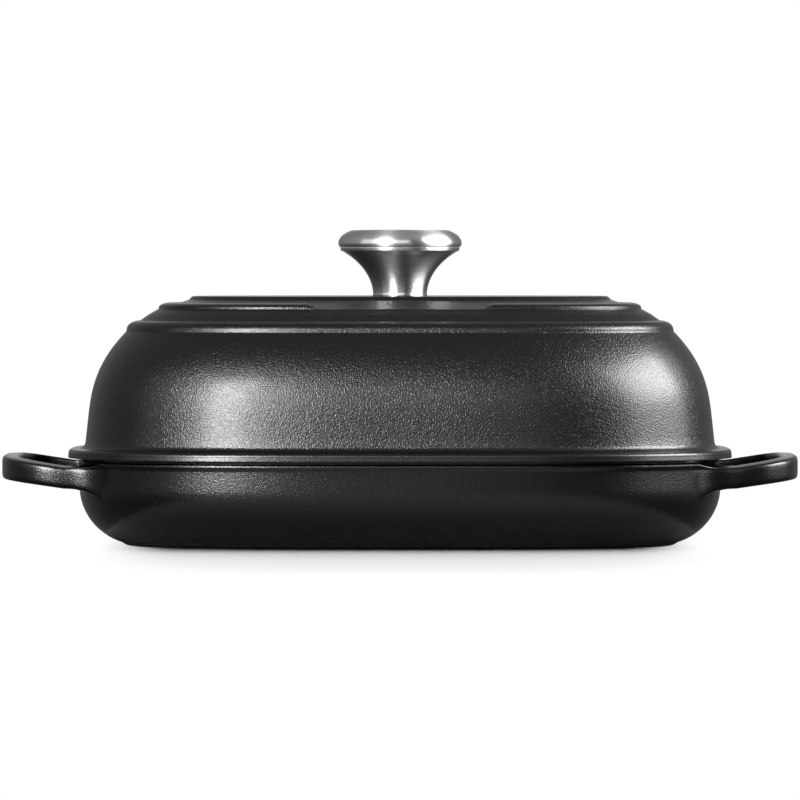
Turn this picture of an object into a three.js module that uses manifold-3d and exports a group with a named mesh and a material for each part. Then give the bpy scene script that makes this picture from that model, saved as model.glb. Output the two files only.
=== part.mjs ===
// Oval dutch oven in enamelled cast iron: a shallow pan with two cast loop handles, a tall stepped lid that
// sits on the rim of the pan, and a hollow steel knob that one screw holds on the lid.
// Millimetres, +Z up, X along the length. The origin is on the table, under the middle of the pan.
import * as THREE from 'three';
import { mergeVertices } from 'three/addons/utils/BufferGeometryUtils.js';
import Module from 'manifold-3d';

// Plan: an oval measured over the upright wall of the pan. Exponent 2 is an ellipse, and higher is blunter.
const PAN_LENGTH = 331;
const PAN_WIDTH = 245;
const OVAL_EXPONENT = 3.1;

// Pan
const PAN_HEIGHT = 43.3;
const PAN_WALL = 4.2;
const PAN_FLOOR = 4.6;
const BOWL_CURVE_WIDTH = 31.1;
const BOWL_CURVE_HEIGHT = 30.2;
const FOOT_HEIGHT = 1.3;
const FOOT_SETBACK = 3.6;
const RIM_FLARE = 1.3;
const RIM_DEPTH = 5.5;
const RIM_ROUND = 1.5;
const FLOOR_RIDGES = 3;
const RIDGE_WIDTH = 6;
const RIDGE_HEIGHT = 1.2;
const RIDGE_PITCH = 20;
const RIDGE_MARGIN = 12;

// Loop handles: a strap that runs out level with the wall and rises gently to its tip
const HANDLE_REACH = 40.5;
const HANDLE_SPAN = 140.5;
const HANDLE_EXPONENT = 4.5;
const HANDLE_RISE_DEGREES = 6.5;
const HANDLE_TOP_BELOW_RIM = 1.8;
const STRAP_WIDTH = 10.5;
const STRAP_HEIGHT = 12;
const STRAP_SECTION_EXPONENT = 4;
const HANDLE_ROOT_DEPTH = 14;
const ROOT_FLARE_LENGTH = 16;
const ROOT_FLARE_SIDE = 4.5;
const ROOT_FLARE_DROP = 4;

// Lid: seat and dome
const SEAT_GAP = 0.1;
const LID_HEIGHT = 84.6;
const LID_WALL = 3.8;
const FLANGE_OVERHANG = 5.9;
const FLANGE_LIFT = 1.9;
const FLANGE_THICKNESS = 4.3;
const FLANGE_ROUND = 2.5;
const FLANGE_FILLET = 3.6;
const SEAT_MARGIN = 0.6;
const LIP_DEPTH = 4;
const LIP_CLEARANCE = 1.2;
const LIP_THICKNESS = 2.4;
const DOME_INSET = 3.3;
const DOME_DRAFT = 0.11;
const DOME_STRAIGHT = 17.4;
const DOME_LOWER_PULL = 12.5;
const DOME_UPPER_PULL = 23;
const DOME_TOP_DEGREES = 45.8;
const LINING_TOP_INSET = 6;
const LINING_LOWER_PULL = 36;
const LINING_UPPER_PULL = 22;

// Lid: raised tiers, from the dome to the flat top
const LOWER_STEP_INSET = 25.3;
const LOWER_STEP_RISE = 5;
const LOWER_STEP_DROP = 12.6;
const LOWER_STEP_LAND = 7;
const LOWER_SLOPE_RUN = 9;
const UPPER_STEP_RISE = 2.8;
const UPPER_STEP_DROP = 3.9;
const UPPER_STEP_LAND = 8.4;
const UPPER_SLOPE_RUN = 8.4;
const TOP_STEP_RISE = 1.9;
const STEP_LEAN = 0.8;
const LAND_RISE = 0.5;
const STEP_ROUND = 2.4;
const RIDGE_GAP_LENGTH = 96;
const RIDGE_GAP_END = 6;
const SCREW_BOSS_RADIUS = 13;
const SCREW_BOSS_HEIGHT = 0.8;

// Knob
const KNOB_HEIGHT = 34.4;
const KNOB_FOOT_RADIUS = 13.65;
const KNOB_FLARE_WIDTH = 39.7;
const KNOB_FLARE_HEIGHT = 31;
const KNOB_SHELL = 1.6;
const KNOB_STEM_HEIGHT = 24.2;
const CAP_RADIUS = 30.9;
const CAP_TOP_RADIUS = 24.3;
const CAP_EDGE_HEIGHT = 3.2;
const CAP_UNDERCUT = 0.5;
const CAP_CROWN = 0.4;
const CAP_SHELL = 1.8;
const SPIGOT_DEPTH = 1.2;
const SPIGOT_WIDTH = 2.4;
const INSERT_HEIGHT = 14;
const ROUND_GAP = 0.3;

// Screw and washer
const SCREW_RADIUS = 2.8;
const SCREW_LENGTH = 20;
const HEAD_RADIUS = 6;
const HEAD_HEIGHT = 3.6;
const HEAD_ROUND = 2;
const CROSS_LENGTH = 6.4;
const CROSS_WIDTH = 1.4;
const CROSS_DEPTH = 2;
const WASHER_RADIUS = 9.5;
const WASHER_THICKNESS = 1.2;

// Facets
const OVAL_SEGMENTS = 56;
const KNOB_SEGMENTS = 28;
const ROUND_STEPS = 3;
const CURVE_STEPS = 7;
const STRAP_STEPS = 34;
const STRAP_SIDES = 12;
const MERGE_DISTANCE = 1e-4;

const halfLength = PAN_LENGTH / 2;
const waist = (PAN_LENGTH - PAN_WIDTH) / 2;
const rimOuter = halfLength + RIM_FLARE;
const rimInner = halfLength - PAN_WALL;
const seatHeight = PAN_HEIGHT + SEAT_GAP;
const lidTop = seatHeight + LID_HEIGHT;
const lidUnderside = lidTop - LID_WALL;
const flangeTop = seatHeight + FLANGE_LIFT + FLANGE_THICKNESS;
const domeStartHeight = flangeTop + DOME_STRAIGHT;
const domeLean = DOME_DRAFT * DOME_STRAIGHT;
const lowerStepRadius = halfLength - LOWER_STEP_INSET;
const upperStepRadius = lowerStepRadius - LOWER_STEP_LAND - LOWER_SLOPE_RUN;
const topStepRadius = upperStepRadius - UPPER_STEP_LAND - UPPER_SLOPE_RUN;
const knobFoot = lidTop + SEAT_GAP;
const knobMouth = knobFoot + KNOB_STEM_HEIGHT;
const roundRadius = Math.max(KNOB_FOOT_RADIUS, SCREW_BOSS_RADIUS) + KNOB_SHELL;
const screwHole = SCREW_RADIUS + ROUND_GAP;

const wasm = await Module();
wasm.setup();

// Solids for joining and cutting

function toSolid(geometry) {
  const bare = geometry.clone();
  bare.deleteAttribute('normal');
  bare.deleteAttribute('uv');
  const merged = mergeVertices(bare, MERGE_DISTANCE);
  return new wasm.Manifold(
    new wasm.Mesh({
      numProp: 3,
      vertProperties: merged.attributes.position.array,
      triVerts: new Uint32Array(merged.index.array),
    }),
  );
}

function toGeometry(solid) {
  const { vertProperties, triVerts } = solid.getMesh();
  const geometry = new THREE.BufferGeometry();
  geometry.setAttribute('position', new THREE.BufferAttribute(vertProperties, 3));
  geometry.setIndex(new THREE.BufferAttribute(triVerts, 1));
  geometry.computeVertexNormals();
  return geometry;
}

// Profiles, as points of radius and height

// A line through corners of [radius, height, rounding]. Each rounding starts that far from its corner, or at
// the middle of the shorter side beside it.
function roundedLine(corners) {
  const points = corners.map(([radius, height]) => new THREE.Vector2(radius, height));
  const path = new THREE.Path();
  path.moveTo(points[0].x, points[0].y);
  for (let i = 1; i < points.length - 1; i++) {
    const [before, corner, after] = points.slice(i - 1, i + 2);
    const rounding = corners[i][2] ?? 0;
    const cut = Math.min(rounding, corner.distanceTo(before) / 2, corner.distanceTo(after) / 2);
    if (cut > 0) {
      const start = corner.clone().add(before.clone().sub(corner).setLength(cut));
      const end = corner.clone().add(after.clone().sub(corner).setLength(cut));
      path.lineTo(start.x, start.y);
      path.quadraticCurveTo(corner.x, corner.y, end.x, end.y);
    } else {
      path.lineTo(corner.x, corner.y);
    }
  }
  path.lineTo(points.at(-1).x, points.at(-1).y);
  return path.getPoints(ROUND_STEPS);
}

// A quarter of an ellipse, or the part of it between two turns in radians.
function ellipseLine(centreRadius, centreHeight, width, height, from, to) {
  const arc = new THREE.EllipseCurve(centreRadius, centreHeight, width, height, from, to, to < from);
  return arc.getPoints(CURVE_STEPS);
}

// A curve between two points that leaves and arrives along the given directions.
function pulledLine(start, startPull, end, endPull) {
  return new THREE.CubicBezierCurve(start, start.clone().add(startPull), end.clone().sub(endPull), end)
    .getPoints(CURVE_STEPS);
}

// Round turned piece about the Z axis.
function turned(profile, segments) {
  return new THREE.LatheGeometry(profile, segments).rotateX(Math.PI / 2);
}

// Half-width of the oval whose half-length is the given radius: inset alike all round, and a circle under the knob.
function ovalShape(radius) {
  const share = THREE.MathUtils.clamp((radius - roundRadius) / (topStepRadius - roundRadius), 0, 1);
  const innerWidth = THREE.MathUtils.lerp(Math.min(radius, roundRadius), topStepRadius - waist, share);
  return {
    halfWidth: radius > topStepRadius ? radius - waist : innerWidth,
    exponent: THREE.MathUtils.lerp(2, OVAL_EXPONENT, share),
  };
}

function ovalReach(radius, angle) {
  const { halfWidth, exponent } = ovalShape(radius);
  const along = Math.abs(Math.cos(angle) / radius) ** exponent;
  const across = Math.abs(Math.sin(angle) / halfWidth) ** exponent;
  return (along + across) ** (-1 / exponent);
}

// A turned profile drawn out to the oval. The heights may change with the place: heightAt(radius, height, x, y).
function ovalTurned(profile, heightAt = (radius, height) => height) {
  const geometry = turned(profile, OVAL_SEGMENTS);
  const position = geometry.attributes.position;
  for (let i = 0; i < position.count; i++) {
    const radius = Math.hypot(position.getX(i), position.getY(i));
    if (radius < MERGE_DISTANCE) continue;
    const angle = Math.atan2(position.getY(i), position.getX(i));
    const reach = ovalReach(radius, angle);
    const x = reach * Math.cos(angle);
    const y = reach * Math.sin(angle);
    position.setXYZ(i, x, y, heightAt(radius, position.getZ(i), x, y));
  }
  geometry.computeVertexNormals();
  return geometry;
}

// Pan

function panOutside() {
  const bowlCentre = halfLength - BOWL_CURVE_WIDTH;
  const footTurn = -Math.asin(1 - FOOT_HEIGHT / BOWL_CURVE_HEIGHT);
  const bowl = ellipseLine(bowlCentre, BOWL_CURVE_HEIGHT, BOWL_CURVE_WIDTH, BOWL_CURVE_HEIGHT, footTurn, 0);
  const rim = roundedLine([
    [halfLength, PAN_HEIGHT - RIM_DEPTH],
    [rimOuter, PAN_HEIGHT - RIM_DEPTH / 2, RIM_ROUND],
    [rimOuter, PAN_HEIGHT, RIM_ROUND],
    [0, PAN_HEIGHT],
  ]);
  return ovalTurned([
    new THREE.Vector2(0, 0),
    new THREE.Vector2(bowl[0].x - FOOT_SETBACK, 0),
    ...bowl,
    ...rim,
  ]);
}

function panInside() {
  const centre = halfLength - BOWL_CURVE_WIDTH;
  const width = BOWL_CURVE_WIDTH - PAN_WALL;
  const height = BOWL_CURVE_HEIGHT - PAN_FLOOR;
  const floor = [new THREE.Vector2(0, PAN_FLOOR)];
  for (let i = FLOOR_RIDGES - 1; i >= 0; i--) {
    const middle = centre - RIDGE_MARGIN - i * RIDGE_PITCH;
    floor.push(
      new THREE.Vector2(middle - RIDGE_WIDTH / 2, PAN_FLOOR),
      new THREE.Vector2(middle - RIDGE_WIDTH / 4, PAN_FLOOR + RIDGE_HEIGHT),
      new THREE.Vector2(middle + RIDGE_WIDTH / 4, PAN_FLOOR + RIDGE_HEIGHT),
      new THREE.Vector2(middle + RIDGE_WIDTH / 2, PAN_FLOOR),
    );
  }
  const bowl = ellipseLine(centre, BOWL_CURVE_HEIGHT, width, height, -Math.PI / 2, 0);
  const mouth = roundedLine([
    [rimInner, PAN_HEIGHT - 2 * RIM_ROUND],
    [rimInner, PAN_HEIGHT, RIM_ROUND],
    [rimInner + RIM_ROUND, PAN_HEIGHT],
  ]);
  const above = PAN_HEIGHT + RIM_DEPTH;
  return ovalTurned([
    ...floor,
    ...bowl,
    ...mouth,
    new THREE.Vector2(rimInner + RIM_ROUND, above),
    new THREE.Vector2(0, above),
  ]);
}

// Middle line of a handle in plan: half of a blunt oval, from inside the wall of the pan to the tip and back.
class HandleLoop extends THREE.Curve {
  getPoint(t, target = new THREE.Vector3()) {
    const turn = (t - 0.5) * Math.PI;
    const power = 2 / HANDLE_EXPONENT;
    const root = halfLength - HANDLE_ROOT_DEPTH;
    const reach = HANDLE_ROOT_DEPTH + HANDLE_REACH - STRAP_WIDTH / 2;
    const halfSpan = (HANDLE_SPAN - STRAP_WIDTH) / 2;
    const x = root + reach * Math.max(0, Math.cos(turn)) ** power;
    const y = halfSpan * Math.sign(turn) * Math.abs(Math.sin(turn)) ** power;
    const rise = (x - halfLength) * Math.tan(THREE.MathUtils.degToRad(HANDLE_RISE_DEGREES));
    const height = PAN_HEIGHT - HANDLE_TOP_BELOW_RIM - STRAP_HEIGHT / 2 + rise;
    return target.set(x, y, height);
  }
}

// A strap of rounded square section along the loop, which swells sideways and downwards where it meets the wall.
function handle() {
  const loop = new HandleLoop();
  const middles = loop.getSpacedPoints(STRAP_STEPS);
  const positions = [];
  const triangles = [];
  const wall = ovalReach(halfLength, Math.atan2(HANDLE_SPAN / 2, halfLength));
  const wallX = Math.sqrt(wall ** 2 - (HANDLE_SPAN / 2) ** 2);
  middles.forEach((middle, step) => {
    const next = middles[Math.min(step + 1, STRAP_STEPS)];
    const last = middles[Math.max(step - 1, 0)];
    const side = new THREE.Vector2(next.y - last.y, last.x - next.x).normalize();
    const away = THREE.MathUtils.clamp((middle.x - wallX) / ROOT_FLARE_LENGTH, 0, 1);
    const flare = (1 - away) ** 2;
    for (let i = 0; i < STRAP_SIDES; i++) {
      const turn = ((i + 0.5) / STRAP_SIDES) * 2 * Math.PI;
      const power = 2 / STRAP_SECTION_EXPONENT;
      const across = Math.sign(Math.cos(turn)) * Math.abs(Math.cos(turn)) ** power;
      const up = Math.sign(Math.sin(turn)) * Math.abs(Math.sin(turn)) ** power;
      const sideways = across * (STRAP_WIDTH / 2 + ROOT_FLARE_SIDE * flare);
      const upwards = up * (STRAP_HEIGHT / 2 + (up < 0 ? ROOT_FLARE_DROP * flare : 0));
      positions.push(middle.x + side.x * sideways, middle.y + side.y * sideways, middle.z + upwards);
    }
  });
  for (let step = 0; step < STRAP_STEPS; step++) {
    for (let i = 0; i < STRAP_SIDES; i++) {
      const here = step * STRAP_SIDES + i;
      const beside = step * STRAP_SIDES + ((i + 1) % STRAP_SIDES);
      triangles.push(here, here + STRAP_SIDES, beside);
      triangles.push(beside, here + STRAP_SIDES, beside + STRAP_SIDES);
    }
  }
  const lastRing = STRAP_STEPS * STRAP_SIDES;
  for (let i = 1; i < STRAP_SIDES - 1; i++) {
    triangles.push(0, i, i + 1);
    triangles.push(lastRing, lastRing + i + 1, lastRing + i);
  }
  const geometry = new THREE.BufferGeometry();
  geometry.setAttribute('position', new THREE.Float32BufferAttribute(positions, 3));
  geometry.setIndex(triangles);
  return geometry;
}

function basePan() {
  const right = toSolid(handle());
  const left = toSolid(handle().rotateZ(Math.PI));
  return toGeometry(toSolid(panOutside()).add(right).add(left).subtract(toSolid(panInside())));
}

// Lid

// The upper ridge stops on the front side, where the slope runs through smooth between its two ends.
function ridgeHeight(radius, height, x, y) {
  const foot = new THREE.Vector2(upperStepRadius + STEP_LEAN, lidTop - UPPER_STEP_DROP - UPPER_STEP_RISE);
  const head = new THREE.Vector2(topStepRadius + STEP_LEAN, lidTop - TOP_STEP_RISE);
  const outside = height < lidUnderside - LID_WALL || radius > foot.x || radius < head.x;
  if (outside || y > 0) return height;
  const share = (foot.x - radius) / (foot.x - head.x);
  const slope = THREE.MathUtils.lerp(foot.y, head.y, share);
  const end = RIDGE_GAP_LENGTH / 2;
  const raised = THREE.MathUtils.smoothstep(Math.abs(x), end - RIDGE_GAP_END, end);
  return height < slope ? height : THREE.MathUtils.lerp(slope, height, raised);
}

function lidOutside() {
  const domeFoot = halfLength - DOME_INSET;
  const flangeEdge = halfLength + FLANGE_OVERHANG;
  const domeStart = new THREE.Vector2(domeFoot - domeLean, domeStartHeight);
  const domeEnd = new THREE.Vector2(lowerStepRadius + STEP_LEAN, lidTop - LOWER_STEP_DROP - LOWER_STEP_RISE);
  const topTurn = Math.PI - THREE.MathUtils.degToRad(DOME_TOP_DEGREES);
  const flange = roundedLine([
    [rimInner - LIP_CLEARANCE, seatHeight],
    [rimOuter + SEAT_MARGIN, seatHeight],
    [flangeEdge, seatHeight + FLANGE_LIFT],
    [flangeEdge, flangeTop, FLANGE_ROUND],
    [domeFoot, flangeTop, FLANGE_FILLET],
    [domeStart.x, domeStart.y],
  ]);
  const dome = pulledLine(
    domeStart,
    new THREE.Vector2(-DOME_DRAFT, 1).setLength(DOME_LOWER_PULL),
    domeEnd,
    new THREE.Vector2(Math.cos(topTurn), Math.sin(topTurn)).setLength(DOME_UPPER_PULL),
  );
  const lowerLand = lidTop - LOWER_STEP_DROP;
  const upperLand = lidTop - UPPER_STEP_DROP;
  const tiers = roundedLine([
    [domeEnd.x, domeEnd.y],
    [lowerStepRadius, lowerLand, STEP_ROUND],
    [lowerStepRadius - LOWER_STEP_LAND, lowerLand + LAND_RISE],
    [upperStepRadius + STEP_LEAN, upperLand - UPPER_STEP_RISE],
    [upperStepRadius, upperLand, STEP_ROUND],
    [upperStepRadius - UPPER_STEP_LAND, upperLand + LAND_RISE],
    [topStepRadius + STEP_LEAN, lidTop - TOP_STEP_RISE],
    [topStepRadius, lidTop, STEP_ROUND],
    [roundRadius, lidTop],
  ]);
  return [...flange.slice(0, -1), ...dome.slice(0, -1), ...tiers];
}

// From the screw hole along the underside and down to the lip that centres the lid in the pan.
function lidInside() {
  const wall = halfLength - DOME_INSET - LID_WALL;
  const lipOuter = rimInner - LIP_CLEARANCE;
  const lipInner = lipOuter - LIP_THICKNESS;
  const lipBottom = seatHeight - LIP_DEPTH;
  const dome = pulledLine(
    new THREE.Vector2(topStepRadius - LINING_TOP_INSET, lidUnderside),
    new THREE.Vector2(LINING_UPPER_PULL, 0),
    new THREE.Vector2(wall - domeLean, domeStartHeight),
    new THREE.Vector2(DOME_DRAFT, -1).setLength(LINING_LOWER_PULL),
  );
  const boss = lidUnderside - SCREW_BOSS_HEIGHT;
  const lip = roundedLine([
    [wall, seatHeight + LIP_DEPTH],
    [lipInner, lipBottom],
    [lipOuter, lipBottom],
    [lipOuter, seatHeight],
  ]);
  return [
    new THREE.Vector2(screwHole, boss),
    new THREE.Vector2(SCREW_BOSS_RADIUS, boss),
    new THREE.Vector2(SCREW_BOSS_RADIUS + SCREW_BOSS_HEIGHT, lidUnderside),
    ...dome,
    ...lip,
  ];
}

function lidDome() {
  const inside = lidInside();
  const throat = [new THREE.Vector2(screwHole, lidTop), inside[0]];
  return ovalTurned([...lidOutside(), ...throat, ...inside.slice(1)], ridgeHeight);
}

// Knob

// Radius of the flared stem at a height over its foot. The inner wall is the same curve, one shell further in.
function stemRadius(height, shell) {
  const centre = KNOB_FOOT_RADIUS + KNOB_FLARE_WIDTH;
  const share = height / (KNOB_FLARE_HEIGHT + shell);
  return centre - (KNOB_FLARE_WIDTH + shell) * Math.sqrt(1 - share ** 2);
}

function stemLine(shell) {
  const line = [];
  for (let i = 0; i <= CURVE_STEPS; i++) {
    const height = KNOB_STEM_HEIGHT * (i / CURVE_STEPS);
    line.push(new THREE.Vector2(stemRadius(height, shell), knobFoot + height));
  }
  return line;
}

function knobBody() {
  const outside = stemLine(0);
  return turned([...outside, ...stemLine(KNOB_SHELL).reverse(), outside[0]], KNOB_SEGMENTS);
}

function knobCap() {
  const seat = knobMouth + SEAT_GAP;
  const top = knobFoot + KNOB_HEIGHT;
  const spigot = stemRadius(KNOB_STEM_HEIGHT - SPIGOT_DEPTH, KNOB_SHELL) - ROUND_GAP;
  const ceiling = top - CAP_SHELL;
  const outside = roundedLine([
    [spigot, seat],
    [CAP_RADIUS - CAP_UNDERCUT, seat],
    [CAP_RADIUS, seat + CAP_EDGE_HEIGHT, CAP_EDGE_HEIGHT / 2],
    [CAP_TOP_RADIUS, top - CAP_CROWN, CAP_EDGE_HEIGHT],
    [0, top],
  ]);
  return turned(
    [
      new THREE.Vector2(0, ceiling),
      new THREE.Vector2(spigot - SPIGOT_WIDTH, ceiling - CAP_CROWN),
      new THREE.Vector2(spigot - SPIGOT_WIDTH, seat - SPIGOT_DEPTH),
      new THREE.Vector2(spigot, seat - SPIGOT_DEPTH),
      ...outside,
    ],
    KNOB_SEGMENTS,
  );
}

function ring(outer, inner, bottom, height) {
  return turned(
    [
      new THREE.Vector2(inner, bottom),
      new THREE.Vector2(outer, bottom),
      new THREE.Vector2(outer, bottom + height),
      new THREE.Vector2(inner, bottom + height),
      new THREE.Vector2(inner, bottom),
    ],
    KNOB_SEGMENTS,
  );
}

function knobInsert() {
  return ring(stemRadius(0, KNOB_SHELL) - ROUND_GAP, screwHole, knobFoot, INSERT_HEIGHT);
}

// Screw and washer, under the boss inside the lid

const washerTop = lidUnderside - SCREW_BOSS_HEIGHT - SEAT_GAP;
const headTop = washerTop - WASHER_THICKNESS - SEAT_GAP;
const headBottom = headTop - HEAD_HEIGHT;

function lidWasher() {
  return ring(WASHER_RADIUS, screwHole, washerTop - WASHER_THICKNESS, WASHER_THICKNESS);
}

function knobScrew() {
  const body = turned(
    roundedLine([
      [0, headBottom],
      [HEAD_RADIUS, headBottom, HEAD_ROUND],
      [HEAD_RADIUS, headTop],
      [SCREW_RADIUS, headTop],
      [SCREW_RADIUS, headTop + SCREW_LENGTH],
      [0, headTop + SCREW_LENGTH],
    ]),
    KNOB_SEGMENTS,
  );
  let screw = toSolid(body);
  for (const turn of [0, Math.PI / 2]) {
    const slot = new THREE.BoxGeometry(CROSS_LENGTH, CROSS_WIDTH, 2 * CROSS_DEPTH);
    slot.rotateZ(turn).translate(0, 0, headBottom);
    screw = screw.subtract(toSolid(slot));
  }
  return toGeometry(screw);
}

// Assembly

const ENAMEL = { color: 0x2a2b2c, roughness: 0.5, metalness: 0 };
const STEEL = { color: 0xb4b4b2, roughness: 0.3, metalness: 1 };

const dutchOven = new THREE.Group();

function addPiece(name, geometry, finish) {
  const mesh = new THREE.Mesh(geometry, new THREE.MeshStandardMaterial(finish));
  mesh.name = name;
  dutchOven.add(mesh);
}

addPiece('base_pan', basePan(), ENAMEL);
addPiece('lid_dome', lidDome(), ENAMEL);
addPiece('knob_body', knobBody(), STEEL);
addPiece('knob_cap', knobCap(), STEEL);
addPiece('knob_insert', knobInsert(), STEEL);
addPiece('knob_screw', knobScrew(), STEEL);
addPiece('lid_washer', lidWasher(), STEEL);

export default dutchOven;
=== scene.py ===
# Oval dutch oven in black enamelled cast iron, with a turned steel knob, on a pale studio floor.
import math

import bmesh
import bpy
from mathutils import Matrix, Vector
from mathutils.geometry import interpolate_bezier


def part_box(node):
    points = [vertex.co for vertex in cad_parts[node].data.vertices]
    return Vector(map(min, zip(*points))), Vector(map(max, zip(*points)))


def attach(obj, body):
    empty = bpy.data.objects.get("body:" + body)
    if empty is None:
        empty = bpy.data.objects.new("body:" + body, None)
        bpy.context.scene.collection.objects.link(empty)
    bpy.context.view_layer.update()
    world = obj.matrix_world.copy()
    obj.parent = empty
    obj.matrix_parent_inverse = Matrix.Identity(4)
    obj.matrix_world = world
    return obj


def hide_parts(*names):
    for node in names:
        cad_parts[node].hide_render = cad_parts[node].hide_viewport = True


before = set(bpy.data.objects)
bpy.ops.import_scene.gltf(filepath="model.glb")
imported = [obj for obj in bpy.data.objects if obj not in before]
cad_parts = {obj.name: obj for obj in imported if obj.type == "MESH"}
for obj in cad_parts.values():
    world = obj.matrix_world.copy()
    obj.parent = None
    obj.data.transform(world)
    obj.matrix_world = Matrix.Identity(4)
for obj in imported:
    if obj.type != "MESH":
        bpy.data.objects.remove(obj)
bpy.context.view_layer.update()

MM = 0.001

# Plan of both castings: an oval, inset alike all round, that turns to a circle under the knob
OVAL_EXPONENT = 3.1
ROUND_RADIUS = 15.25 * MM

# Pan
PAN_WALL = 4.2 * MM
PAN_FLOOR = 4.6 * MM
BOWL_WIDTH = 31.1 * MM
BOWL_HEIGHT = 30.2 * MM
FOOT_HEIGHT = 1.9 * MM
FOOT_NOTCH = 1.1 * MM
FOOT_SETBACK = 2.4 * MM
FOOT_ROUND = 0.8 * MM
RIM_FLARE = 0.5 * MM
RIM_ROUND = 0.4 * MM
RIM_BEAD = 3.2 * MM
RIM_BEAD_EDGE = 1.2 * MM
RIM_BEAD_LEAN = 0.2 * MM
FLOOR_RIDGES = 3
RIDGE_WIDTH = 6 * MM
RIDGE_HEIGHT = 1.2 * MM
RIDGE_PITCH = 20 * MM
RIDGE_MARGIN = 12 * MM
RIDGE_ROUND = 1 * MM

# Loop handles
HANDLE_REACH = 39.5 * MM
HANDLE_SPAN = 140.5 * MM
HANDLE_EXPONENT = 4.5
HANDLE_RISE_DEGREES = 8.3
HANDLE_TOP_BELOW_RIM = 2.1 * MM
HANDLE_ROOT_DEPTH = 14 * MM
STRAP_WIDTH = 8.5 * MM
STRAP_HEIGHT = 12 * MM
STRAP_SECTION_EXPONENT = 5.5
STRAP_TOP_FALL = 0.25
ROOT_FROM_DEGREES = 17.8
ROOT_TO_DEGREES = 26.9
ROOT_LOW = 24 * MM
ROOT_BELOW_RIM = 0.4 * MM
ROOT_LENGTH = 14 * MM
ROOT_PULL = 0.62

# Lid: seat and dome
SEAT_GAP = 0.1 * MM
LID_WALL = 3.8 * MM
FLANGE_OVERHANG = 5.9 * MM
FLANGE_LIFT = 1.65 * MM
FLANGE_THICKNESS = 4.55 * MM
FLANGE_FALL = 0.2 * MM
FLANGE_ROUND = 1.9 * MM
FLANGE_EDGE_ROUND = 0.3 * MM
FLANGE_BEAD = 2 * MM
FLANGE_BEAD_LEAN = 0.25 * MM
FLANGE_FILLET = 3.2 * MM
SEAT_RELIEF_INSET = 2.4 * MM
SEAT_RELIEF_LIFT = 0.8 * MM
LIP_DEPTH = 4 * MM
LIP_CLEARANCE = 1.2 * MM
LIP_THICKNESS = 2.4 * MM
LIP_ROUND = 0.8 * MM
DOME_INSET = 2.7 * MM
DOME_DRAFT = 0.11
DOME_STRAIGHT = 17 * MM
DOME_LOWER_PULL = 12.5 * MM
DOME_UPPER_PULL = 23 * MM
DOME_TOP_DEGREES = 45.8
LINING_TOP_INSET = 6 * MM
LINING_LOWER_PULL = 36 * MM
LINING_UPPER_PULL = 22 * MM

# Lid: raised tiers, from the dome to the flat top
LOWER_STEP_INSET = 24.2 * MM
LOWER_STEP_RISE = 5.6 * MM
LOWER_STEP_DROP = 12.6 * MM
LOWER_STEP_LAND = 6.9 * MM
LOWER_SHOULDER_WIDTH = 6.6 * MM
LOWER_SHOULDER_HEIGHT = 4.6 * MM
LOWER_SLOPE_RUN = 9.7 * MM
UPPER_STEP_RISE = 3.2 * MM
UPPER_STEP_DROP = 3.3 * MM
UPPER_STEP_LAND = 8.9 * MM
UPPER_SHOULDER_WIDTH = 6 * MM
UPPER_SHOULDER_HEIGHT = 2.5 * MM
UPPER_SLOPE_RUN = 8.4 * MM
TOP_STEP_RISE = 1.9 * MM
TOP_STEP_LEAN = 1.9 * MM
TOP_STEP_ROUND = 0.6 * MM
STEP_LEAN = 0.2 * MM
STEP_FILLET = 0.4 * MM
UPPER_LAND_FALL = 0.6 * MM
LAND_ROUND = 0.3 * MM
SLOPE_CROWN = 0.4 * MM
RIDGE_GAP_LENGTH = 96 * MM
RIDGE_GAP_END = 5 * MM
SCREW_BOSS_RADIUS = 13 * MM
SCREW_BOSS_HEIGHT = 0.8 * MM
SCREW_HOLE_RADIUS = 3.1 * MM

# Knob
KNOB_FOOT_RADIUS = 13.9 * MM
KNOB_FLARE_WIDTH = 44.2 * MM
KNOB_FLARE_HEIGHT = 30 * MM
KNOB_FLARE_TOP = 22.9 * MM
KNOB_SHELL = 1.6 * MM
KNOB_BEAD = 1 * MM
KNOB_LIP_RADIUS = 30.6 * MM
KNOB_LIP_LEAN = -0.4 * MM
KNOB_LIP_TOP = 25.1 * MM
CAP_RADIUS = 32 * MM
CAP_TOP_RADIUS = 25 * MM
CAP_WIDEST = 26.8 * MM
CAP_CROWN = 0.4 * MM
CAP_UNDERCUT = 0.7 * MM
CAP_SHELL = 1.8 * MM
CAP_SHOULDER_PULL = 4.2 * MM
CAP_SHOULDER_FALL = 1.6 * MM
CAP_EDGE_PULL = 3.6 * MM

# Screw set
HEAD_ROUND = 1.8 * MM
CROSS_LENGTH = 6.4 * MM
CROSS_WIDTH = 1.4 * MM
CROSS_DEPTH = 1.6 * MM
SMALL_ROUND = 0.3 * MM
FLAT_TOLERANCE = 0.003 * MM

# Mesh fineness
OVAL_STEPS = 320
KNOB_STEPS = 128
SCREW_STEPS = 48
ROUND_SEGMENTS = 6
ARC_PULL = 0.552
CURVE_POINTS = 24
PAN_ROW = 2.5 * MM
LID_ROW = 5 * MM
SMALL_ROW = 1.5 * MM
STRAP_STEPS = 28
ROOT_ROWS = 9
MERGE_DISTANCE = 0.001 * MM

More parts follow.
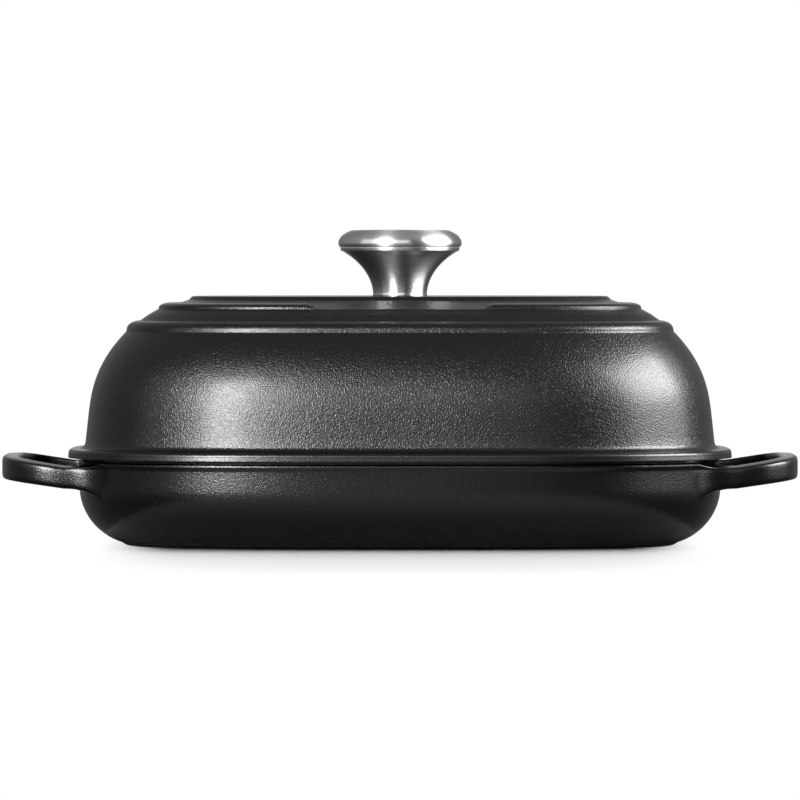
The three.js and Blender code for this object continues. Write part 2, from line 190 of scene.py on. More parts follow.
# Sizes that the frame gives
pan_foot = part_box("base_pan")[0].z
lid_low, lid_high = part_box("lid_dome")
knob_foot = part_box("knob_body")[0].z
knob_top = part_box("knob_cap")[1].z
insert_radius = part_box("knob_insert")[1].x
screw_low, screw_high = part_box("knob_screw")
washer_low, washer_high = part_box("lid_washer")
half_length = lid_high.x - FLANGE_OVERHANG
waist = lid_high.x - lid_high.y
seat_height = lid_low.z + LIP_DEPTH
rim_height = seat_height - SEAT_GAP
lid_top = lid_high.z
lid_underside = lid_top - LID_WALL
rim_outer = half_length + RIM_FLARE
rim_inner = half_length - PAN_WALL
strap_root_x = half_length - HANDLE_ROOT_DEPTH
strap_reach = HANDLE_REACH + HANDLE_ROOT_DEPTH - STRAP_WIDTH / 2
strap_half_span = (HANDLE_SPAN - STRAP_WIDTH) / 2
flange_bottom = seat_height + FLANGE_LIFT
flange_top = flange_bottom + FLANGE_THICKNESS
lower_step_radius = half_length - LOWER_STEP_INSET
upper_step_radius = lower_step_radius - LOWER_STEP_LAND - LOWER_SLOPE_RUN
top_step_radius = upper_step_radius - UPPER_STEP_LAND - UPPER_SLOPE_RUN
lower_land = lid_top - LOWER_STEP_DROP
upper_land = lid_top - UPPER_STEP_DROP


def lerp(low, high, share):
    return low + (high - low) * share


def smooth_step(low, high, value):
    share = min(max((value - low) / (high - low), 0), 1)
    return share * share * (3 - 2 * share)


def rounded_profile(corners, row, closed=False):
    """A wire in XZ through corners of (radius, height, rounding), in steps of a row at most."""
    bm = bmesh.new()
    verts = [bm.verts.new((radius, 0, height)) for radius, height, rounding in corners]
    followers = verts[1:] + verts[:1] if closed else verts[1:]
    for pair in zip(verts, followers):
        bm.edges.new(pair)
    for vert, (radius, height, rounding) in zip(verts, corners):
        if rounding:
            bmesh.ops.bevel(
                bm, geom=[vert], offset=rounding, segments=ROUND_SEGMENTS, profile=0.5,
                affect="VERTICES", clamp_overlap=True, material=-1,
            )
    for edge in list(bm.edges):
        cuts = int(edge.calc_length() / row)
        if cuts:
            bmesh.ops.subdivide_edges(bm, edges=[edge], cuts=cuts)
    return bm


def turned(bm, steps, angle=math.tau):
    """Spins a profile about the Z axis by an angle, all the way round if none is given."""
    bmesh.ops.spin(
        bm, geom=bm.verts[:] + bm.edges[:], cent=(0, 0, 0), axis=(0, 0, 1),
        angle=angle, steps=steps, use_merge=angle == math.tau,
    )
    bmesh.ops.remove_doubles(bm, verts=bm.verts, dist=MERGE_DISTANCE)
    bmesh.ops.recalc_face_normals(bm, faces=bm.faces)
    return bm


def mirrored(bm, *axes):
    """Completes a half or quarter shape by mirroring it along each of the axes."""
    for axis in axes:
        geometry = bm.verts[:] + bm.edges[:] + bm.faces[:]
        bmesh.ops.mirror(bm, geom=geometry, merge_dist=MERGE_DISTANCE, axis=axis)
    bmesh.ops.remove_doubles(bm, verts=bm.verts, dist=MERGE_DISTANCE)
    bmesh.ops.recalc_face_normals(bm, faces=bm.faces)
    return bm


def oval_reach(radius, angle):
    """Distance from the Z axis to the oval of half-length radius, at an angle from the X axis."""
    share = min(max((radius - ROUND_RADIUS) / (top_step_radius - ROUND_RADIUS), 0), 1)
    half_width = radius - waist
    if radius < top_step_radius:
        half_width = lerp(min(radius, ROUND_RADIUS), top_step_radius - waist, share)
    exponent = lerp(2, OVAL_EXPONENT, share)
    along = abs(math.cos(angle) / radius) ** exponent
    across = abs(math.sin(angle) / half_width) ** exponent
    return (along + across) ** (-1 / exponent)


def drawn_out(bm, height_at):
    """Draws a round turned shape out to the oval. height_at gives each point's new height."""
    for vert in bm.verts:
        radius = math.hypot(vert.co.x, vert.co.y)
        if radius > MERGE_DISTANCE:
            angle = math.atan2(vert.co.y, vert.co.x)
            reach = oval_reach(radius, angle)
            place = Vector((reach * math.cos(angle), reach * math.sin(angle), vert.co.z))
            place.z = height_at(radius, place)
            vert.co = place
    return bm


def add_piece(bm, name, finish, body, slot, *nodes):
    """Makes a finished piece of the object from a bmesh, in place of the named CAD nodes."""
    mesh = bpy.data.meshes.new(name)
    for face in bm.faces:
        face.smooth = True
    bm.to_mesh(mesh)
    bm.free()
    mesh.materials.append(finish)
    piece = bpy.data.objects.new(name, mesh)
    bpy.context.scene.collection.objects.link(piece)
    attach(piece, body)
    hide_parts(*nodes)
    return piece


# Pan with its cast loop handles

def bowl_curve(centre, width, height, first_turn, last_turn):
    """Corners along an ellipse round the foot of the pan's wall, between two turns in radians."""
    turns = [lerp(first_turn, last_turn, i / CURVE_POINTS) for i in range(CURVE_POINTS + 1)]
    return [(centre + width * math.cos(t), BOWL_HEIGHT + height * math.sin(t), 0) for t in turns]


def pan_profile():
    """Round the section of the pan: out under its foot, up its outside, then down its inside."""
    centre = half_length - BOWL_WIDTH
    foot_turn = -math.asin(1 - FOOT_HEIGHT / BOWL_HEIGHT)
    outside = bowl_curve(centre, BOWL_WIDTH, BOWL_HEIGHT, foot_turn, 0)
    inside = bowl_curve(centre, BOWL_WIDTH - PAN_WALL, BOWL_HEIGHT - PAN_FLOOR, 0, -math.pi / 2)
    foot = outside[0][0] - FOOT_NOTCH
    floor = []
    for i in range(FLOOR_RIDGES):
        middle = centre - RIDGE_MARGIN - i * RIDGE_PITCH
        top = PAN_FLOOR + RIDGE_HEIGHT
        floor += [
            (middle + RIDGE_WIDTH / 2, PAN_FLOOR, RIDGE_ROUND),
            (middle + RIDGE_WIDTH / 4, top, RIDGE_ROUND),
            (middle - RIDGE_WIDTH / 4, top, RIDGE_ROUND),
            (middle - RIDGE_WIDTH / 2, PAN_FLOOR, RIDGE_ROUND),
        ]
    return [
        (0, 0, 0),
        (foot - FOOT_SETBACK, 0, FOOT_ROUND),
        (foot, outside[0][1] - FOOT_NOTCH / 4, FOOT_NOTCH / 4),
        *outside,
        (half_length, rim_height - RIM_BEAD, RIM_ROUND),
        (rim_outer, rim_height - RIM_BEAD_EDGE, RIM_ROUND / 2),
        (rim_outer - RIM_BEAD_LEAN, rim_height, RIM_ROUND),
        (rim_inner, rim_height, RIM_ROUND),
        *inside,
        *floor,
        (0, PAN_FLOOR, 0),
    ]


def strap_middle(turn):
    """Middle of a handle's strap, and the way out of the loop, at a turn from the X axis."""
    power = 2 / HANDLE_EXPONENT
    along, across = math.cos(turn), math.sin(turn)
    x = strap_root_x + strap_reach * along ** power
    y = strap_half_span * across ** power
    rise = (x - half_length) * math.tan(math.radians(HANDLE_RISE_DEGREES))
    z = rim_height - HANDLE_TOP_BELOW_RIM - STRAP_HEIGHT / 2 + rise
    out = Vector((along ** (2 - power) / strap_reach, across ** (2 - power) / strap_half_span, 0))
    return Vector((x, y, z)), out.normalized()


def strap_ring(turn, sections):
    """Places round the strap for its section's points. Along the sides its top falls outwards."""
    middle, out = strap_middle(turn)
    ring = []
    for outwards, upwards in sections:
        fall = STRAP_TOP_FALL * math.sin(turn) * (1 + outwards) / 2 if upwards > 0 else 0
        up = Vector((0, 0, upwards * (1 - fall) * STRAP_HEIGHT / 2))
        ring.append(middle + out * (outwards * STRAP_WIDTH / 2) + up)
    return ring


def ring_edges(ring):
    """The open edges between the vertices of a ring."""
    corners = set(ring)
    edges = dict.fromkeys(edge for vert in ring for edge in vert.link_edges if edge.is_boundary)
    return [edge for edge in edges if corners.issuperset(edge.verts)]


def grown(bm, ring, places):
    """Extrudes an open ring by a row to the given places. Gives the new ring in the same order."""
    made = bmesh.ops.extrude_edge_only(bm, edges=ring_edges(ring))["geom"]
    corners = set(ring)
    follower = {}
    for vert in (item for item in made if isinstance(item, bmesh.types.BMVert)):
        for edge in vert.link_edges:
            if edge.other_vert(vert) in corners:
                follower[edge.other_vert(vert)] = vert
    fresh = [follower[vert] for vert in ring]
    for vert, place in zip(fresh, places):
        vert.co = place
    return fresh


def wall_angle(point):
    return math.degrees(math.atan2(point.y, point.x))


def open_wall(bm):
    """Opens the pan's wall where a handle grows. Gives the ring of the hole and its normals."""
    wall = []
    for face in bm.faces:
        middle = face.calc_center_median()
        angle = wall_angle(middle)
        mid_wall = oval_reach(half_length - PAN_WALL / 2, math.radians(angle))
        outside = math.hypot(middle.x, middle.y) > mid_wall
        in_height = ROOT_LOW < middle.z < rim_height - ROOT_BELOW_RIM
        if outside and in_height and ROOT_FROM_DEGREES < angle < ROOT_TO_DEGREES:
            wall.append(face)
    inner = set(wall)
    corners = {vert for face in wall for vert in face.verts}
    bm.verts.index_update()
    ring = sorted((v for v in corners if not inner.issuperset(v.link_faces)), key=lambda v: v.index)
    normals = [vert.normal.copy() for vert in ring]
    bmesh.ops.delete(bm, geom=wall, context="FACES")
    return ring, normals


def section_points(ring):
    """Where each vertex of the hole goes on the strap's section: outwards and upwards, -1 to 1."""
    angles = [wall_angle(vert.co) for vert in ring]
    heights = [vert.co.z for vert in ring]
    points = []
    for angle, height in zip(angles, heights):
        outwards = 2 * (angle - min(angles)) / (max(angles) - min(angles)) - 1
        upwards = 2 * (height - min(heights)) / (max(heights) - min(heights)) - 1
        power = STRAP_SECTION_EXPONENT
        size = (abs(outwards) ** power + abs(upwards) ** power) ** (1 / power)
        points.append((outwards / size, upwards / size))
    return points


def add_half_handle(bm):
    """Grows half of a loop handle out of the wall: a fillet, then the strap up to the XZ plane."""
    wall_share = (strap_half_span / (half_length - waist)) ** OVAL_EXPONENT
    wall_x = half_length * (1 - wall_share) ** (1 / OVAL_EXPONENT)
    turn = math.acos(((wall_x + ROOT_LENGTH - strap_root_x) / strap_reach) ** (HANDLE_EXPONENT / 2))
    ring, normals = open_wall(bm)
    sections = section_points(ring)
    ahead = Vector((1, 0, 0))
    routes = []
    for vert, normal, last in zip(ring, normals, strap_ring(turn, sections)):
        corner = last - ahead * ((last - vert.co).dot(normal) / ahead.dot(normal))
        start_pull = vert.co.lerp(corner, ROOT_PULL)
        last_pull = last.lerp(corner, ROOT_PULL)
        routes.append(interpolate_bezier(vert.co, start_pull, last_pull, last, ROOT_ROWS + 1))
    for row in range(1, ROOT_ROWS + 1):
        ring = grown(bm, ring, [route[row] for route in routes])
    for step in range(1, STRAP_STEPS + 1):
        ring = grown(bm, ring, strap_ring(lerp(turn, 0, step / STRAP_STEPS), sections))


def pan(finish):
    bm = turned(rounded_profile(pan_profile(), PAN_ROW), OVAL_STEPS // 4, angle=math.pi / 2)
    drawn_out(bm, lambda radius, place: place.z)
    bm.normal_update()
    add_half_handle(bm)
    bm = mirrored(bm, "Y", "X")
    return add_piece(bm, "enamelled_pan", finish, "pan", "black_enamel", "base_pan")


# Lid

def rounded_between(start, start_pull, end_pull, end):
    """Corners along a curve between two places, drawn towards its pulls."""
    points = interpolate_bezier(start, start_pull, end_pull, end, CURVE_POINTS)
    return [(point.x, point.y, 0) for point in points]


def shoulder(edge, land, width, height):
    """Corners up the rounded edge of a tier, from its riser to its land."""
    riser_top = Vector((edge, land - height))
    riser_pull = riser_top + Vector((0, height * ARC_PULL))
    land_start = Vector((edge - width, land))
    land_pull = land_start + Vector((width * ARC_PULL, 0))
    return rounded_between(riser_top, riser_pull, land_pull, land_start)


def lid_profile():
    """Round the section of the lid: up its outside from the lip, then down its lining."""
    lip_outer = rim_inner - LIP_CLEARANCE
    lip_inner = lip_outer - LIP_THICKNESS
    lip_bottom = seat_height - LIP_DEPTH
    relief_wall = rim_outer - SEAT_RELIEF_INSET
    flange_edge = half_length + FLANGE_OVERHANG
    dome_foot = half_length - DOME_INSET
    dome_start = Vector((dome_foot - DOME_DRAFT * DOME_STRAIGHT, flange_top + DOME_STRAIGHT))
    dome_end = Vector((lower_step_radius + STEP_LEAN, lower_land - LOWER_STEP_RISE))
    lean = Vector((-DOME_DRAFT, 1)).normalized()
    top_turn = math.radians(180 - DOME_TOP_DEGREES)
    over = Vector((math.cos(top_turn), math.sin(top_turn)))
    dome = rounded_between(
        dome_start, dome_start + lean * DOME_LOWER_PULL, dome_end - over * DOME_UPPER_PULL, dome_end
    )
    lining_top = Vector((top_step_radius - LINING_TOP_INSET, lid_underside))
    lining_foot = dome_start - Vector((LID_WALL, 0))
    lining_top_pull = lining_top + Vector((LINING_UPPER_PULL, 0))
    lining_foot_pull = lining_foot + lean * LINING_LOWER_PULL
    lining = rounded_between(lining_top, lining_top_pull, lining_foot_pull, lining_foot)
    boss = lid_underside - SCREW_BOSS_HEIGHT
    lower_slope = Vector((lower_step_radius - LOWER_STEP_LAND, lower_land))
    upper_foot = Vector((upper_step_radius, upper_land - UPPER_STEP_RISE))
    crown = (lower_slope + upper_foot) / 2 + Vector((0, SLOPE_CROWN))
    return [
        (lip_inner, lip_bottom, LIP_ROUND),
        (lip_outer, lip_bottom, LIP_ROUND),
        (lip_outer, seat_height, SMALL_ROUND),
        (relief_wall, seat_height, SMALL_ROUND),
        (relief_wall, flange_bottom + SEAT_RELIEF_LIFT, FLANGE_EDGE_ROUND),
        (flange_edge, flange_bottom, FLANGE_EDGE_ROUND),
        (flange_edge - FLANGE_BEAD_LEAN, flange_bottom + FLANGE_BEAD, FLANGE_EDGE_ROUND),
        (flange_edge - FLANGE_BEAD_LEAN, flange_top - FLANGE_FALL, FLANGE_ROUND),
        (dome_foot, flange_top, FLANGE_FILLET),
        *dome[:-1],
        (*dome[-1][:2], STEP_FILLET),
        *shoulder(lower_step_radius, lower_land, LOWER_SHOULDER_WIDTH, LOWER_SHOULDER_HEIGHT),
        (*lower_slope, LAND_ROUND),
        (*crown, LAND_ROUND),
        (*upper_foot, STEP_FILLET),
        *shoulder(upper_step_radius, upper_land, UPPER_SHOULDER_WIDTH, UPPER_SHOULDER_HEIGHT),
        (upper_step_radius - UPPER_STEP_LAND, upper_land - UPPER_LAND_FALL, LAND_ROUND),
        (top_step_radius + TOP_STEP_LEAN, lid_top - TOP_STEP_RISE, TOP_STEP_ROUND),
        (top_step_radius, lid_top, TOP_STEP_ROUND),
        (ROUND_RADIUS, lid_top, 0),
        (SCREW_HOLE_RADIUS, lid_top, 0),
        (SCREW_HOLE_RADIUS, boss, 0),
        (SCREW_BOSS_RADIUS, boss, SMALL_ROUND),
        (SCREW_BOSS_RADIUS + SCREW_BOSS_HEIGHT, lid_underside, SMALL_ROUND),
        *lining,
        (dome_foot - LID_WALL, seat_height + LIP_DEPTH, LIP_ROUND),
    ]


def ridge_height(radius, place):
    """Height on the lid. In front the upper ridge stops, and the slope runs on between its ends."""
    foot = Vector((upper_step_radius + STEP_FILLET, upper_land - UPPER_STEP_RISE))
    head = Vector((top_step_radius + TOP_STEP_LEAN, lid_top - TOP_STEP_RISE))
    on_ridge = head.x < radius < foot.x and place.z > lid_underside - LID_WALL and place.y < 0
    slope = lerp(foot.y, head.y, (foot.x - radius) / (foot.x - head.x))
    if not on_ridge or place.z < slope:
        return place.z
    end = RIDGE_GAP_LENGTH / 2
    return lerp(slope, place.z, smooth_step(end - RIDGE_GAP_END, end, abs(place.x)))


def lid(finish):
    profile = rounded_profile(lid_profile(), LID_ROW, closed=True)
    bm = mirrored(turned(profile, OVAL_STEPS // 4, angle=math.pi / 2), "Y", "X")
    drawn_out(bm, ridge_height)
    return add_piece(bm, "enamelled_lid", finish, "lid", "black_enamel", "lid_dome")


# Knob and its screw set

def stem_curve(shell, low, high):
    """Corners up the flared stem between two heights over its foot, a shell in from its outside."""
    centre = KNOB_FOOT_RADIUS + KNOB_FLARE_WIDTH
    corners = []
    for i in range(CURVE_POINTS + 1):
        height = lerp(low, high, i / CURVE_POINTS)
        share = height / (KNOB_FLARE_HEIGHT + shell)
        radius = centre - (KNOB_FLARE_WIDTH + shell) * math.sqrt(1 - share ** 2)
        corners.append((radius, knob_foot + height, 0))
    return corners


def knob_stem(finish):
    outside = stem_curve(0, KNOB_BEAD, KNOB_FLARE_TOP)
    inside = stem_curve(KNOB_SHELL, 0, KNOB_FLARE_TOP)
    lip_low = knob_foot + KNOB_FLARE_TOP + KNOB_SHELL / 4
    lip_top = knob_foot + KNOB_LIP_TOP
    bm = rounded_profile(
        [
            (KNOB_FOOT_RADIUS + KNOB_BEAD / 4, knob_foot, KNOB_BEAD / 3),
            (KNOB_FOOT_RADIUS + KNOB_BEAD / 4, knob_foot + KNOB_BEAD / 2, KNOB_BEAD / 3),
            *outside,
            (KNOB_LIP_RADIUS, lip_low, SMALL_ROUND),
            (KNOB_LIP_RADIUS - KNOB_LIP_LEAN, lip_top, SMALL_ROUND),
            (inside[-1][0], lip_top, SMALL_ROUND),
            *reversed(inside),
        ],
        SMALL_ROW, closed=True,
    )
    return add_piece(turned(bm, KNOB_STEPS), "knob_stem", finish, "lid", "knob_steel", "knob_body")


def knob_cap(finish):
    seat = knob_foot + KNOB_LIP_TOP + SEAT_GAP
    top_edge = Vector((CAP_TOP_RADIUS, knob_top - CAP_CROWN))
    widest = Vector((CAP_RADIUS, knob_foot + CAP_WIDEST))
    edge_pull = widest + Vector((0, CAP_EDGE_PULL))
    shoulder_pull = top_edge + Vector((CAP_SHOULDER_PULL, -CAP_SHOULDER_FALL))
    edge = rounded_between(widest, edge_pull, shoulder_pull, top_edge)
    ceiling = knob_top - CAP_SHELL
    bm = rounded_profile(
        [
            (0, ceiling, 0),
            (CAP_TOP_RADIUS - CAP_SHELL, ceiling, CAP_SHELL),
            (CAP_RADIUS - 3 * CAP_SHELL, seat, SMALL_ROUND),
            (CAP_RADIUS - CAP_UNDERCUT, seat, CAP_UNDERCUT / 2),
            *edge[:-1],
            (*top_edge, CAP_UNDERCUT / 2),
            (0, knob_top, 0),
        ],
        SMALL_ROW,
    )
    return add_piece(turned(bm, KNOB_STEPS), "knob_top", finish, "lid", "knob_steel", "knob_cap")


def steel_ring(name, node, outer, inner, finish):
    """A plain ring with broken edges, in the height of its CAD node."""
    low, high = (corner.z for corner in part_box(node))
    corners = [(inner, low), (outer, low), (outer, high), (inner, high)]
    corners = [(radius, height, SMALL_ROUND) for radius, height in corners]
    bm = turned(rounded_profile(corners, SMALL_ROW, closed=True), SCREW_STEPS)
    return add_piece(bm, name, finish, "lid", "plain_steel", node)


def pan_head_screw(finish):
    """The screw that holds the knob, with a cross recess in its round head."""
    low, high = screw_low.z, screw_high.z
    head_radius = screw_high.x
    shank_radius = SCREW_HOLE_RADIUS - SMALL_ROUND
    head_top = washer_low.z - SEAT_GAP
    bm = turned(
        rounded_profile(
            [
                (CROSS_LENGTH / 2 + SMALL_ROUND, low, 0),
                (head_radius, low, HEAD_ROUND),
                (head_radius, head_top, SMALL_ROUND),
                (shank_radius, head_top, SMALL_ROUND),
                (shank_radius, high, SMALL_ROUND),
                (0, high, 0),
            ],
            SMALL_ROW,
        ),
        SCREW_STEPS,
    )
    bmesh.ops.holes_fill(bm, edges=[edge for edge in bm.edges if edge.is_boundary])
    for half in (CROSS_WIDTH / 2, CROSS_LENGTH / 2):
        for way in (Vector((1, 0, 0)), Vector((-1, 0, 0)), Vector((0, 1, 0)), Vector((0, -1, 0))):
            flat = [
                face for face in bm.faces
                if abs(face.calc_center_median().z - low) < FLAT_TOLERANCE
            ]
            edges = [edge for face in flat for edge in face.edges]
            verts = [vert for face in flat for vert in face.verts]
            around = list(dict.fromkeys(flat + edges + verts))
            bmesh.ops.bisect_plane(bm, geom=around, plane_co=way * half, plane_no=way)
    recess = []
    for face in bm.faces:
        middle = face.calc_center_median()
        across, along = sorted((abs(middle.x), abs(middle.y)))
        in_cross = across < CROSS_WIDTH / 2 and along < CROSS_LENGTH / 2
        if in_cross and middle.z < low + FLAT_TOLERANCE:
            recess.append(face)
    sunk = bmesh.ops.extrude_face_region(bm, geom=recess)["geom"]
    bmesh.ops.delete(bm, geom=recess, context="FACES_ONLY")
    sunk = [item for item in sunk if isinstance(item, bmesh.types.BMVert)]
    bmesh.ops.translate(bm, vec=(0, 0, CROSS_DEPTH), verts=sunk)
    bmesh.ops.recalc_face_normals(bm, faces=bm.faces)
    return add_piece(bm, "knob_screw_finished", finish, "lid", "plain_steel", "knob_screw")


# Finishes

class Socket:
    """A shader socket. Python's operators on it add Math nodes to its tree."""

    def __init__(self, shading, output):
        self.shading = shading
        self.output = output

    def _math(self, operation, first, second):
        return self.shading.node("ShaderNodeMath", {"operation": operation}, {0: first, 1: second})

    def __add__(self, other):
        return self._math("ADD", self, other)

    def __radd__(self, other):
        return self._math("ADD", other, self)

    def __sub__(self, other):
        return self._math("SUBTRACT", self, other)

    def __rsub__(self, other):
        return self._math("SUBTRACT", other, self)

    def __mul__(self, other):
        return self._math("MULTIPLY", self, other)

    def __rmul__(self, other):
        return self._math("MULTIPLY", other, self)

    def __pow__(self, other):
        return self._math("POWER", self, other)


class Shading:
    """The node tree of a material or of the world."""

    def __init__(self, owner):
        owner.use_nodes = True
        self.tree = owner.node_tree
        self.tree.nodes.clear()

    def node(self, kind, settings=None, sockets=None, output=0):
        """Adds a node: its settings are set first, then its sockets are linked or given values."""
        node = self.tree.nodes.new(kind)
        for name, value in (settings or {}).items():
            setattr(node, name, value)
        for name, value in (sockets or {}).items():
            if isinstance(value, Socket):
                self.tree.links.new(value.output, node.inputs[name])
            else:
                node.inputs[name].default_value = value
        return Socket(self, node.outputs[output]) if node.outputs else None

    def ramp(self, value, low, high, at_low=0.0, at_high=1.0, **settings):
        """A straight ramp from one value at low to another at high, level beyond both."""
        return self.node(
            "ShaderNodeMapRange", settings,
            {
                "Value": value, "From Min": low, "From Max": high,
                "To Min": at_low, "To Max": at_high,
            },
        )


ENAMEL_COLOUR = (0.002, 0.002, 0.0021, 1)
ENAMEL_IOR = 1.33
LID_ROUGHNESS = 0.305
PAN_ROUGHNESS = 0.28
ENAMEL_GRAIN = 0.68 * MM
LID_GRAIN_DEPTH = 0.215 * MM
PAN_GRAIN_DEPTH = 0.1 * MM
FLANGE_GRAIN_SHARE = 0.35
GRAIN_RAMP = 3 * MM
NOISE_MIDDLE = 0.5
GLAZE_WEIGHT = 0.34
GLAZE_ROUGHNESS = 0.23
STEEL_COLOUR = (0.6, 0.595, 0.585, 1)
KNOB_ROUGHNESS = 0.24
PLAIN_STEEL_ROUGHNESS = 0.3
STEEL_RING = 0.25 * MM
STEEL_RING_ROUGHNESS = 0.08
STEEL_BRUSHING = 0.85
QUARTER_TURN = 0.25


def black_enamel(name, roughness, grain_depth, dressed_height):
    """Semi-gloss black enamel over the grain of the sand mould, dressed smoother below a height."""
    finish = bpy.data.materials.new(name)
    shade = Shading(finish)
    place = shade.node("ShaderNodeTexCoord", output="Object")
    height = shade.node("ShaderNodeSeparateXYZ", {}, {"Vector": place}, "Z")
    grain = shade.node(
        "ShaderNodeTexNoise", {}, {"Vector": place, "Scale": 1 / ENAMEL_GRAIN, "Detail": 0.0}
    )
    rough_height = dressed_height + GRAIN_RAMP
    share = shade.ramp(height, dressed_height, rough_height, at_low=FLANGE_GRAIN_SHARE)
    relief = (grain - NOISE_MIDDLE) * share
    bump = shade.node(
        "ShaderNodeBump", {}, {"Strength": 1.0, "Distance": grain_depth, "Height": relief}
    )
    surface = shade.node(
        "ShaderNodeBsdfPrincipled", {},
        {
            "Base Color": ENAMEL_COLOUR, "Roughness": roughness, "IOR": ENAMEL_IOR, "Normal": bump,
            "Coat Weight": GLAZE_WEIGHT, "Coat Roughness": GLAZE_ROUGHNESS, "Coat IOR": ENAMEL_IOR,
        },
    )
    shade.node("ShaderNodeOutputMaterial", {}, {"Surface": surface})
    return finish


def turned_steel(name, roughness):
    """Steel with the fine rings that the lathe leaves."""
    finish = bpy.data.materials.new(name)
    shade = Shading(finish)
    place = shade.node("ShaderNodeTexCoord", output="Object")
    x, y, z = (shade.node("ShaderNodeSeparateXYZ", {}, {"Vector": place}, axis) for axis in "XYZ")
    along = (x * x + y * y) ** 0.5 + z
    rings = shade.node(
        "ShaderNodeTexNoise", {"noise_dimensions": "1D"}, {"W": along, "Scale": 1 / STEEL_RING}
    )
    surface = shade.node(
        "ShaderNodeBsdfPrincipled", {},
        {
            "Base Color": STEEL_COLOUR, "Metallic": 1.0,
            "Roughness": roughness + STEEL_RING_ROUGHNESS * rings,
            "Anisotropic": STEEL_BRUSHING, "Anisotropic Rotation": QUARTER_TURN,
        },
    )
    shade.node("ShaderNodeOutputMaterial", {}, {"Surface": surface})
    return finish


# Studio

STUDIO_CENTRE = Vector((0, 0, 0.09))
STUDIO_DISTANCE = 2.2
FLOOR_SHEET = (157 * MM, 440 * MM)
FLOOR_CORNER_POWER = 4
FLOOR_FADES_FROM = 0.72
FLOOR_COLOUR = (0.87, 0.87, 0.87, 1)
WHITE = (1, 1, 1, 1)

# Even dome of light on the object, which falls off to both sides and gains towards the back
DOME_BRIGHTNESS = 2.2
DOME_SIDE_POWER = 4
DOME_FROM_BEHIND = 0.8

# Room in reflections. A level changes over a span of one part of the direction, from -1 to 1.
ROOM_FRONT = 0.1
ROOM_SIDES = 0.36
ROOM_SIDE_SPAN = (-0.9, -0.4)
ROOM_BACK_SHARE = 0.65
ROOM_BACK_SPAN = (0.2, 0.8)
ROOM_LOW_SHARE = 0.35
ROOM_LOW_SPAN = (-0.3, 0.1)
BACKDROP_BRIGHTNESS = 0.5
BACKDROP_DEPTH_SPAN = (0.7, 0.9)
BACKDROP_WIDTH_SPAN = (0.14, 0.05)

# Softboxes: name, degrees right of the camera, width, lowest and highest elevation, brightness
SOFTBOXES = (
    ("left_softbox", -29, 13, 2, 36, 61),
    ("left_softbox_edge", -32, 38, 9, 38, 3.4),
    ("left_flat", -64, 30, 4, 38, 1.1),
    ("front_softbox", -1, 38, 9, 34, 2),
    ("right_softbox", 83, 52, 16, 46, 27),
    ("right_softbox_skirt", 83, 54, 3, 16, 6.5),
)


def add_softbox(name, azimuth, width, low, high, brightness):
    """A soft lamp that shows only in reflections. The even light of the dome does the rest."""
    around, up = math.radians(azimuth), math.radians((low + high) / 2)
    way = Vector((math.sin(around) * math.cos(up), -math.cos(around) * math.cos(up), math.sin(up)))
    lamp = bpy.data.lights.new(name, "AREA")
    lamp.shape = "RECTANGLE"
    lamp.size = 2 * STUDIO_DISTANCE * math.cos(up) * math.tan(math.radians(width / 2))
    lamp.size_y = 2 * STUDIO_DISTANCE * math.tan(math.radians((high - low) / 2))
    lamp.energy = brightness * math.pi * lamp.size * lamp.size_y
    softbox = bpy.data.objects.new(name, lamp)
    softbox.location = STUDIO_CENTRE + way * STUDIO_DISTANCE
    softbox.rotation_mode = "QUATERNION"
    softbox.rotation_quaternion = (-way).to_track_quat("-Z", "Y")
    softbox.visible_camera = False
    softbox.visible_diffuse = False
    bpy.context.scene.collection.objects.link(softbox)


def in_reflection(shade):
    """1 for a ray that shows something in a reflection or through glass, and otherwise 0."""
    glossy = shade.node("ShaderNodeLightPath", output="Is Glossy Ray")
    through = shade.node("ShaderNodeLightPath", output="Is Transmission Ray")
    return shade.node("ShaderNodeMath", {"operation": "MAXIMUM"}, {0: glossy, 1: through})


def studio_world():
    """A dome of light, white for the camera, and a dim room with a backdrop in reflections."""
    world = bpy.data.worlds.new("studio")
    bpy.context.scene.world = world
    world.cycles.sampling_method = "NONE"
    shade = Shading(world)
    way = shade.node("ShaderNodeTexCoord", output="Generated")
    x, y, z = (shade.node("ShaderNodeSeparateXYZ", {}, {"Vector": way}, axis) for axis in "XYZ")
    dome = DOME_BRIGHTNESS * (1 - x * x) ** DOME_SIDE_POWER * (1 + DOME_FROM_BEHIND * y)
    room = shade.ramp(y, *ROOM_SIDE_SPAN, ROOM_FRONT, ROOM_SIDES)
    behind = shade.ramp(y, *ROOM_BACK_SPAN, 1.0, ROOM_BACK_SHARE)
    low = shade.ramp(z, *ROOM_LOW_SPAN, ROOM_LOW_SHARE, 1.0)
    backdrop = shade.ramp((x * x) ** 0.5, *BACKDROP_WIDTH_SPAN)
    backdrop = backdrop * shade.ramp(y, *BACKDROP_DEPTH_SPAN, at_high=BACKDROP_BRIGHTNESS)
    camera = shade.node("ShaderNodeLightPath", output="Is Camera Ray")
    indirect = in_reflection(shade)
    reflected = room * behind * low + backdrop
    seen = camera + (1 - camera) * (indirect * reflected + (1 - indirect) * dome)
    light = shade.node("ShaderNodeBackground", {}, {"Color": WHITE, "Strength": seen})
    shade.node("ShaderNodeOutputWorld", {}, {"Surface": light})


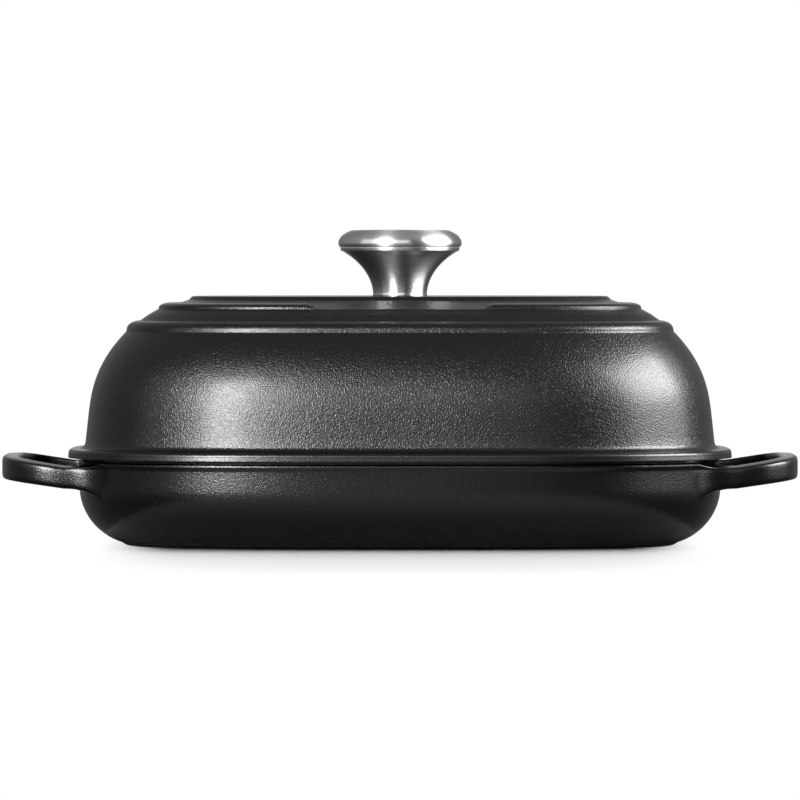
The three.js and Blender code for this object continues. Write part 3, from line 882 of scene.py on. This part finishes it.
def studio_floor():
    """A pale sheet under the pan, which keeps its shadow and fades into the white round it."""
    bm = bmesh.new()
    sheet = Matrix.Diagonal((*FLOOR_SHEET, 1, 1))
    bmesh.ops.create_grid(bm, x_segments=1, y_segments=1, size=1, matrix=sheet)
    mesh = bpy.data.meshes.new("studio_floor")
    bm.to_mesh(mesh)
    bm.free()
    finish = bpy.data.materials.new("pale_floor")
    shade = Shading(finish)
    place = shade.node("ShaderNodeTexCoord", output="Object")
    x, y = (shade.node("ShaderNodeSeparateXYZ", {}, {"Vector": place}, axis) for axis in "XY")
    across, along = (part * (1 / half) for part, half in zip((x, y), FLOOR_SHEET))
    power = FLOOR_CORNER_POWER
    outwards = (across ** power + along ** power) ** (1 / power)
    faded = shade.ramp(outwards, FLOOR_FADES_FROM, 1.0, interpolation_type="SMOOTHSTEP")
    camera = shade.node("ShaderNodeLightPath", output="Is Camera Ray")
    lit = shade.node("ShaderNodeBsdfDiffuse", {}, {"Color": FLOOR_COLOUR})
    plain = shade.node("ShaderNodeEmission", {}, {"Color": WHITE, "Strength": 1.0})
    surface = shade.node("ShaderNodeMixShader", {}, {0: faded * camera, 1: lit, 2: plain})
    shade.node("ShaderNodeOutputMaterial", {}, {"Surface": surface})
    mesh.materials.append(finish)
    floor = bpy.data.objects.new("studio_floor", mesh)
    bpy.context.scene.collection.objects.link(floor)


CAMERA_PLACE = Vector((0, -4.2, 0.15))
CAMERA_AIM = Vector((0, 0, 0.0741))
CAMERA_LENS = 364.8


def studio_camera():
    camera = bpy.data.objects.new("camera", bpy.data.cameras.new("camera"))
    camera.data.lens = CAMERA_LENS
    camera.location = CAMERA_PLACE
    camera.rotation_mode = "QUATERNION"
    camera.rotation_quaternion = (CAMERA_AIM - CAMERA_PLACE).to_track_quat("-Z", "Y")
    bpy.context.scene.collection.objects.link(camera)
    bpy.context.scene.camera = camera


studio_camera()
studio_world()
studio_floor()
for softbox in SOFTBOXES:
    add_softbox(*softbox)
bpy.context.scene.view_settings.view_transform = "Standard"

knob_steel = turned_steel("knob_steel", KNOB_ROUGHNESS)
plain_steel = turned_steel("plain_steel", PLAIN_STEEL_ROUGHNESS)
pan(black_enamel("pan_enamel", PAN_ROUGHNESS, PAN_GRAIN_DEPTH, pan_foot - GRAIN_RAMP))
lid(black_enamel("lid_enamel", LID_ROUGHNESS, LID_GRAIN_DEPTH, flange_top))
knob_stem(knob_steel)
knob_cap(knob_steel)
steel_ring("knob_bush", "knob_insert", insert_radius, SCREW_HOLE_RADIUS, plain_steel)
steel_ring("screw_washer", "lid_washer", washer_high.x, SCREW_HOLE_RADIUS, plain_steel)
pan_head_screw(plain_steel)
